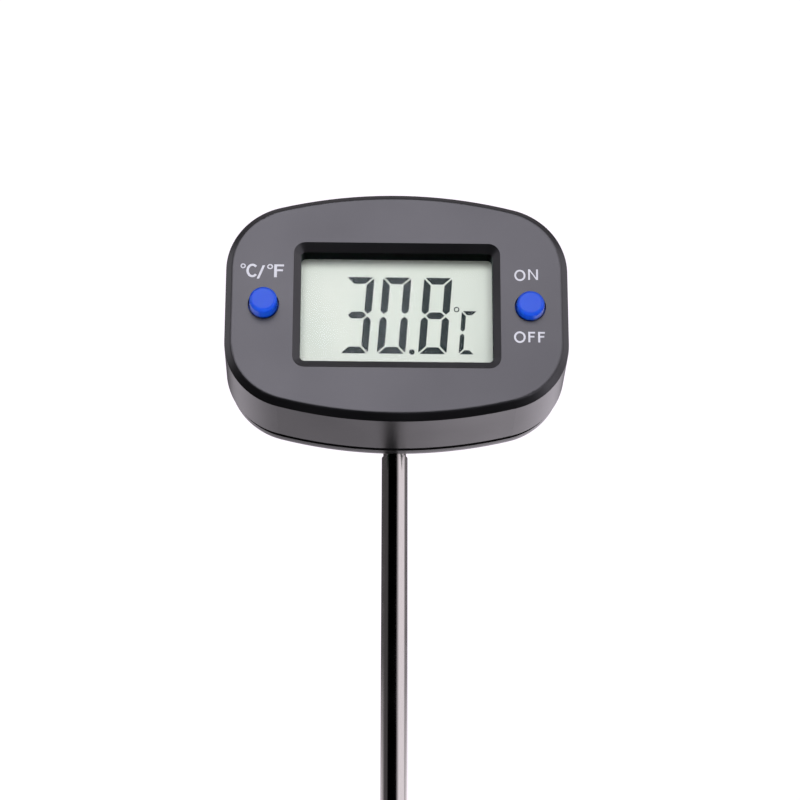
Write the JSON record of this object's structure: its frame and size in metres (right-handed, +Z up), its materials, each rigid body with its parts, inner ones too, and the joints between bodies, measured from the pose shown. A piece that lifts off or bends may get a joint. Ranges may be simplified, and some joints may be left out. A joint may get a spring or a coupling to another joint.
{
  "type": "digital probe thermometer",
  "caption": "T-shaped digital probe thermometer with a rounded head, deep display window, push buttons, coin-slot battery cap and a long straight steel stem.",
  "frame": {"origin": "on the stem's axis, level with the underside of the head, where a clip or a bung butts up", "axes": "+Z up the stem towards the head, +Y to the back of the head, display looks along -Y, +X to the right of someone reading the display"},
  "size_m": [0.068, 0.0288, 0.1992],
  "materials": {
    "case_plastic": "black ABS, satin gloss moulded",
    "window_clear": "clear moulded acrylic",
    "lcd_glass": "pale grey-green display glass",
    "reflector_film": "satin film",
    "frame_plastic": "natural white nylon",
    "contact_rubber": "layered silicone",
    "board_laminate": "green solder mask",
    "chip_resin": "black epoxy",
    "component_body": "ceramic chips",
    "button_blue": "blue moulded plastic",
    "plunger_plastic": "black nylon",
    "switch_body": "black nylon",
    "cell_steel": "nickel-plated",
    "contact_metal": "plated spring strip",
    "cap_plastic": "black ABS, fine grain",
    "seal_rubber": "nitrile",
    "stem_steel": "polished stainless steel",
    "bush_brass": "turned",
    "clamp_plastic": "black nylon",
    "screw_steel": "zinc-plated",
    "bead_glass": "glass-sealed bead",
    "filler_resin": "filled resin",
    "lead_insulation": "thin insulation",
    "sleeve_plastic": "clear-brown sleeve"
  },
  "bodies": {
    "case": {"front_case": "case_plastic", "rear_cover": "case_plastic", "display_window": "window_clear", "lcd_panel": "lcd_glass", "lcd_reflector": "reflector_film", "lcd_frame": "frame_plastic", "contact_strips": "contact_rubber", "circuit_board": "board_laminate", "controller_chip": "chip_resin", "board_components": "component_body", "unit_switch": "switch_body", "power_switch": "switch_body", "button_cell": "cell_steel", "battery_contact_negative": "contact_metal", "battery_contact_positive": "contact_metal", "probe_tube": "stem_steel", "stem_bush": "bush_brass", "stem_seal": "seal_rubber", "stem_clamp": "clamp_plastic", "clamp_screws": "screw_steel", "case_screws": "screw_steel", "board_screws": "screw_steel", "thermistor_bead": "bead_glass", "tip_filler": "filler_resin", "sensor_leads": "lead_insulation", "lead_sleeve": "sleeve_plastic"},
    "unit_button": {"unit_button": "button_blue", "unit_switch_plunger": "plunger_plastic"},
    "power_button": {"power_button": "button_blue", "power_switch_plunger": "plunger_plastic"},
    "battery_cap_seal": {"battery_cap_seal": "seal_rubber"},
    "battery_cap": {"battery_cap": "cap_plastic"}
  },
  "joints": [
    {"name": "unit_button_press", "type": "slide", "parent": "case", "child": "unit_button", "axis": [0, 1, 0], "range_m": [0, 0.0004], "stiffness_N_per_m": 800},
    {"name": "power_button_press", "type": "slide", "parent": "case", "child": "power_button", "axis": [0, 1, 0], "range_m": [0, 0.0004], "stiffness_N_per_m": 800},
    {"name": "battery_cap_rise", "type": "slide", "parent": "case", "child": "battery_cap_seal", "axis": [0, 1, 0], "range_m": [0, 0.005]},
    {"name": "battery_cap_turn", "type": "hinge", "parent": "battery_cap_seal", "child": "battery_cap", "pos_m": [0, 0.0002, 0.0351], "axis": [0, 1, 0], "range_deg": [0, 1440]}
  ],
  "couplings": [
    {"joint": "battery_cap_turn", "follows": "battery_cap_rise", "rad_per_m": 5026.5}
  ]
}
